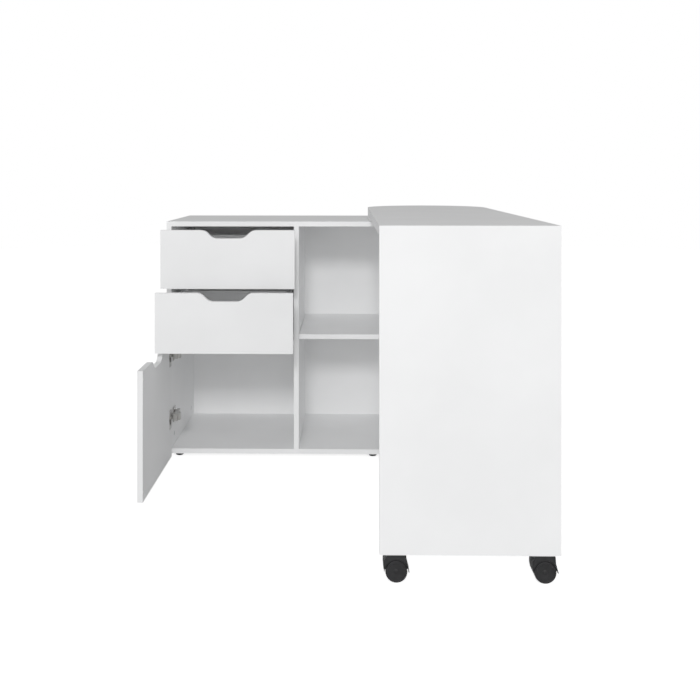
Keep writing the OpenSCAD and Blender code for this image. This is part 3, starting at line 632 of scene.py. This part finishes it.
class SEWING_TABLE_OT_screws(Operator):
    """Makes the cross-headed screws of the door, the desk, the cabinet and the drawers"""

    bl_idname = "sewing_table.screws"
    bl_label = "Screws"

    def execute(self, context):
        settings = context.scene.sewing_table
        self.screws("cup_screw_heads", "cup_screws", "door", settings)
        self.screws("desk_screw_heads", "desk_screws", "desk", settings)
        self.screws("cabinet_screw_heads", "cabinet_screws", "cabinet", settings)
        self.screws("upper_fixing_heads", "upper_fixings", "upper_drawer", settings)
        self.screws("lower_fixing_heads", "lower_fixings", "lower_drawer", settings)
        self.screws("pivot_screw_heads", "pivot_screws", "cabinet", settings)
        return {"FINISHED"}

    def screws(self, name, node, body, settings):
        """One head and shank for each screw of a CAD node, or a plain pin where both ends are as wide."""
        bm = bmesh.new()
        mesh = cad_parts[node].data
        points = [v.co.copy() for v in mesh.vertices]
        for low, high in islands(node):
            size = high - low
            along = max(range(3), key=lambda i: size[i])
            across = [i for i in range(3) if i != along]
            centre = (low + high) / 2
            own = [
                p for p in points
                if all(low[i] - MERGE_DISTANCE <= p[i] <= high[i] + MERGE_DISTANCE for i in range(3))
            ]
            half = size[across[0]] / 2

            def width(level):
                return max((abs(p[across[0]] - centre[across[0]]) for p in own
                            if abs(p[along] - level) < WELD_DISTANCE), default=0)

            ends = (width(low[along]), width(high[along]))
            if abs(ends[0] - ends[1]) < 0.1 * MM:
                place = centre.copy()
                place[along] = low[along]
                direction = Vector([float(i == along) for i in range(3)])
                length = size[along]
                profile = [
                    (half - 0.5 * MM, 0), (half, 0.8 * MM), (half, length - 0.8 * MM),
                    (half - 0.5 * MM, length), (0, length),
                ]
                add_lathe(bm, profile, facing(place, direction), SHANK_STEPS)
                continue
            head_high = ends[1] > ends[0]
            direction = Vector((0, 0, 0))
            direction[along] = 1 if head_high else -1
            end = high[along] if head_high else low[along]
            head = 2.0 * MM if half > 3 * MM else 1.0 * MM
            if node == "cup_screws":
                head = 0.9 * MM
            place = centre.copy()
            place[along] = end - direction[along] * head
            add_cross_head(bm, facing(place, direction), half, head)
            length = size[along] - head
            shank = 0.46 * half
            turns = facing(place, -direction)
            add_lathe(bm, [(shank, 0), (shank, length * 0.8), (0, length)], turns, SHANK_STEPS)
        new_piece(name, mesh_from(name, bm), zinc(settings), body, "zinc_steel", node)


class SEWING_TABLE_OT_cams(Operator):
    """Makes the cam locks' cross-slotted faces in the upright boards"""

    bl_idname = "sewing_table.cams"
    bl_label = "Cam locks"

    def execute(self, context):
        settings = context.scene.sewing_table
        bm = bmesh.new()
        left_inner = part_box("left_side")[1].x
        for low, high in islands("cam_locks"):
            radius = (high.y - low.y) / 2
            centre = (low + high) / 2
            faces_right = abs(high.x - left_inner) < 1 * MM
            direction = (1, 0, 0) if faces_right else (-1, 0, 0)
            face = high.x if faces_right else low.x
            depth = high.x - low.x
            base = face - direction[0] * 1.2 * MM
            add_cross_head(bm, facing((base, centre.y, centre.z), direction), radius, 1.4 * MM, 0.06, 0.75)
            back = facing((base, centre.y, centre.z), (-direction[0], 0, 0))
            barrel = depth - 1.2 * MM
            add_lathe(bm, [(radius * 0.98, 0), (radius * 0.98, barrel), (0, barrel)], back, HEAD_STEPS)
        new_piece("cam_lock_faces", mesh_from("cam_lock_faces", bm), zinc(settings), "cabinet", "zinc_steel",
                  "cam_locks")
        return {"FINISHED"}


class SEWING_TABLE_OT_castors(Operator):
    """Finishes the castors' hoods and plates, and makes their wheels with hub rings and treads"""

    bl_idname = "sewing_table.castors"
    bl_label = "Castors"

    def execute(self, context):
        settings = context.scene.sewing_table
        for side in ("left", "right"):
            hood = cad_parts[side + "_castor_hood"]
            dress(hood, black_plastic(settings))
            soften(hood, settings.castors.hood_radius, 3)
            for place, facing_y in (("front", -1), ("rear", 1)):
                self.wheel(side, place, facing_y, settings)
        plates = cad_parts["castor_plates"]
        dress(plates, black_paint())
        soften(plates, settings.metal.edge_radius, 2)
        return {"FINISHED"}

    def wheel(self, side, place, facing_y, settings):
        """A wheel with a stepped hub cap, a dished web, a grooved tread and a blind bore for the axle."""
        node = f"{side}_castor_{place}_wheel"
        low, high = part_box(node)
        radius = (high.z - low.z) / 2
        width = high.y - low.y
        inner_y = high.y if facing_y < 0 else low.y
        matrix = facing(((low.x + high.x) / 2, inner_y, (low.z + high.z) / 2), (0, facing_y, 0))
        face = [
            (0.0, width - 0.9 * MM), (0.16 * radius, width - 0.9 * MM), (0.20 * radius, width - 1.3 * MM),
            (0.24 * radius, width - 1.9 * MM), (0.55 * radius, width - 1.5 * MM),
            (0.78 * radius, width - 1.3 * MM), (0.81 * radius, width - 0.5 * MM), (0.84 * radius, width),
            (0.93 * radius, width), (0.97 * radius, width - 0.6 * MM), (radius - 0.2 * MM, width - 1.6 * MM),
            (radius, width - 2.6 * MM),
        ]
        tread = []
        grooves = settings.castors.tread_grooves
        band = width - 5.2 * MM
        for i in range(grooves):
            mid = width - 2.6 * MM - band * (i + 1) / (grooves + 1)
            tread += [(radius, mid + 0.5 * MM), (radius - 0.4 * MM, mid + 0.25 * MM),
                      (radius - 0.4 * MM, mid - 0.25 * MM), (radius, mid - 0.5 * MM)]
        axle_low, axle_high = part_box(side + "_castor_axle")
        bore = (axle_high.z - axle_low.z) / 2 + 0.15 * MM
        reach = inner_y - axle_low.y if facing_y < 0 else axle_high.y - inner_y
        depth = reach + 0.4 * MM
        back = [(radius, 2.6 * MM), (radius - 0.6 * MM, 0.8 * MM), (0.93 * radius, 0.0), (bore, 0.0),
                (bore, depth), (0.0, depth)]
        bm = bmesh.new()
        add_lathe(bm, face + tread + back, matrix, WHEEL_STEPS)
        new_piece(f"{node}_moulding", mesh_from(node, bm), black_plastic(settings), f"{side}_{place}_wheel",
                  "black_plastic", node)


class SEWING_TABLE_OT_feet(Operator):
    """Makes the cabinet's round black feet with their rims"""

    bl_idname = "sewing_table.feet"
    bl_label = "Feet"

    def execute(self, context):
        settings = context.scene.sewing_table
        bm = bmesh.new()
        for low, high in islands("feet"):
            radius = (high.x - low.x) / 2
            height = high.z - low.z
            matrix = Matrix.Translation(((low.x + high.x) / 2, (low.y + high.y) / 2, low.z))
            add_lathe(bm, [
                (0.0, 0.0), (0.72 * radius, 0.0), (0.84 * radius, 0.3 * MM), (0.94 * radius, 1.2 * MM),
                (radius, 2.6 * MM), (radius, height - 1.6 * MM), (0.97 * radius, height - 1.2 * MM),
                (0.97 * radius, height), (0.0, height),
            ], matrix, FOOT_STEPS)
        new_piece("foot_mouldings", mesh_from("foot_mouldings", bm), foot_black(settings), "cabinet",
                  "black_plastic", "feet")
        return {"FINISHED"}


class SEWING_TABLE_OT_studio(Operator):
    """Makes the white floor, the light in front, the surrounding light and the camera"""

    bl_idname = "sewing_table.studio"
    bl_label = "Studio"

    def execute(self, context):
        scene = context.scene
        settings = scene.sewing_table.studio
        scene.view_settings.view_transform = "Standard"
        scene.view_settings.gamma = VIEW_GAMMA
        self.floor(scene)
        self.world(scene, settings)
        self.key(scene, settings)
        self.camera(scene, settings)
        return {"FINISHED"}

    def floor(self, scene):
        """A disc that glows for the camera only, so that it looks white without lighting the object more."""
        bm = bmesh.new()
        add_lathe(bm, [(radius, 0) for radius in FLOOR_RADII], Matrix.Identity(4), FLOOR_STEPS)
        mesh = mesh_from("studio_floor", bm)
        floor = bpy.data.objects.new("studio_floor", mesh)
        scene.collection.objects.link(floor)
        material, tree, shader = new_material("floor_paper")
        shader.inputs["Base Color"].default_value = (FLOOR_ALBEDO, FLOOR_ALBEDO, FLOOR_ALBEDO, 1)
        shader.inputs["Roughness"].default_value = 0.75
        shader.inputs["Emission Color"].default_value = (1, 1, 1, 1)
        path = tree.nodes.new("ShaderNodeLightPath")
        glow = tree.nodes.new("ShaderNodeMapRange")
        glow.inputs["To Min"].default_value = 0.0
        glow.inputs["To Max"].default_value = FLOOR_GLOW
        tree.links.new(path.outputs["Is Camera Ray"], glow.inputs["Value"])
        tree.links.new(glow.outputs["Result"], shader.inputs["Emission Strength"])
        mesh.materials.append(material)

    def world(self, scene, settings):
        """White to the camera; as a light, it runs from fill to sky with height and is brighter in front."""
        world = bpy.data.worlds.new("studio")
        world.use_nodes = True
        tree = world.node_tree
        tree.nodes.clear()
        output = tree.nodes.new("ShaderNodeOutputWorld")
        mix = tree.nodes.new("ShaderNodeMixShader")
        seen = tree.nodes.new("ShaderNodeBackground")
        light = tree.nodes.new("ShaderNodeBackground")
        path = tree.nodes.new("ShaderNodeLightPath")
        light.inputs["Color"].default_value = (1.0, 1.0, 1.0, 1)
        place = tree.nodes.new("ShaderNodeTexCoord")
        parts = tree.nodes.new("ShaderNodeSeparateXYZ")
        fade = tree.nodes.new("ShaderNodeMapRange")
        fade.inputs["From Min"].default_value = 0.05
        fade.inputs["From Max"].default_value = 0.8
        fade.inputs["To Min"].default_value = settings.fill
        fade.inputs["To Max"].default_value = settings.sky
        tree.links.new(place.outputs["Generated"], parts.inputs["Vector"])
        tree.links.new(parts.outputs["Z"], fade.inputs["Value"])
        glow = tree.nodes.new("ShaderNodeMapRange")
        glow.interpolation_type = "SMOOTHSTEP"
        glow.inputs["From Min"].default_value = -0.5
        glow.inputs["From Max"].default_value = -1.0
        glow.inputs["To Min"].default_value = 0.0
        glow.inputs["To Max"].default_value = settings.front_glow
        total = tree.nodes.new("ShaderNodeMath")
        total.operation = "ADD"
        tree.links.new(parts.outputs["Y"], glow.inputs["Value"])
        tree.links.new(fade.outputs["Result"], total.inputs[0])
        tree.links.new(glow.outputs["Result"], total.inputs[1])
        tree.links.new(total.outputs["Value"], light.inputs["Strength"])
        seen.inputs["Color"].default_value = (1, 1, 1, 1)
        tree.links.new(path.outputs["Is Camera Ray"], mix.inputs["Fac"])
        tree.links.new(light.outputs["Background"], mix.inputs[1])
        tree.links.new(seen.outputs["Background"], mix.inputs[2])
        tree.links.new(mix.outputs["Shader"], output.inputs["Surface"])
        scene.world = world

    def key(self, scene, settings):
        light = bpy.data.lights.new("front_key", "AREA")
        light.shape = "DISK"
        light.size = settings.key_size
        light.energy = settings.key_power
        key = bpy.data.objects.new("front_key", light)
        scene.collection.objects.link(key)
        place = Vector((KEY_SIDE, -KEY_DISTANCE, settings.key_height))
        key.location = place
        key.rotation_euler = (KEY_TARGET - place).to_track_quat("-Z", "Y").to_euler()

    def camera(self, scene, settings):
        data = bpy.data.cameras.new("camera")
        data.lens = settings.lens
        data.shift_x = CAMERA_SHIFT[0]
        data.shift_y = CAMERA_SHIFT[1]
        camera = bpy.data.objects.new("camera", data)
        scene.collection.objects.link(camera)
        camera.location = (settings.camera_side, -settings.camera_distance, settings.camera_height)
        camera.rotation_euler = (math.radians(90), 0, settings.camera_turn)
        scene.camera = camera


class SEWING_TABLE_PT_panel(Panel):
    """Lists the steps that finish the sewing table"""

    bl_idname = "SEWING_TABLE_PT_panel"
    bl_label = "Sewing Table"
    bl_space_type = "VIEW_3D"
    bl_region_type = "UI"
    bl_category = "Sewing Table"

    def draw(self, context):
        layout = self.layout
        settings = context.scene.sewing_table
        for group in (settings.boards, settings.metal, settings.castors, settings.studio):
            box = layout.box()
            for name in group.bl_rna.properties.keys():
                if name not in ("rna_type", "name"):
                    box.prop(group, name)
        for operator in STEPS:
            layout.operator(operator.bl_idname)


STEPS = (
    SEWING_TABLE_OT_studio,
    SEWING_TABLE_OT_boards,
    SEWING_TABLE_OT_fronts,
    SEWING_TABLE_OT_runners,
    SEWING_TABLE_OT_hinges,
    SEWING_TABLE_OT_swivel,
    SEWING_TABLE_OT_screws,
    SEWING_TABLE_OT_cams,
    SEWING_TABLE_OT_castors,
    SEWING_TABLE_OT_feet,
)
CLASSES = (
    BoardSettings, MetalSettings, CastorSettings, StudioSettings, SewingTableSettings, *STEPS,
    SEWING_TABLE_PT_panel,
)


def register():
    for cls in CLASSES:
        bpy.utils.register_class(cls)
    bpy.types.Scene.sewing_table = PointerProperty(type=SewingTableSettings)


def unregister():
    del bpy.types.Scene.sewing_table
    for cls in reversed(CLASSES):
        bpy.utils.unregister_class(cls)


def main():
    register()
    bpy.ops.sewing_table.studio()
    bpy.ops.sewing_table.boards()
    bpy.ops.sewing_table.fronts()
    bpy.ops.sewing_table.runners()
    bpy.ops.sewing_table.hinges()
    bpy.ops.sewing_table.swivel()
    bpy.ops.sewing_table.screws()
    bpy.ops.sewing_table.cams()
    bpy.ops.sewing_table.castors()
    bpy.ops.sewing_table.feet()


if __name__ == "__main__":
    main()
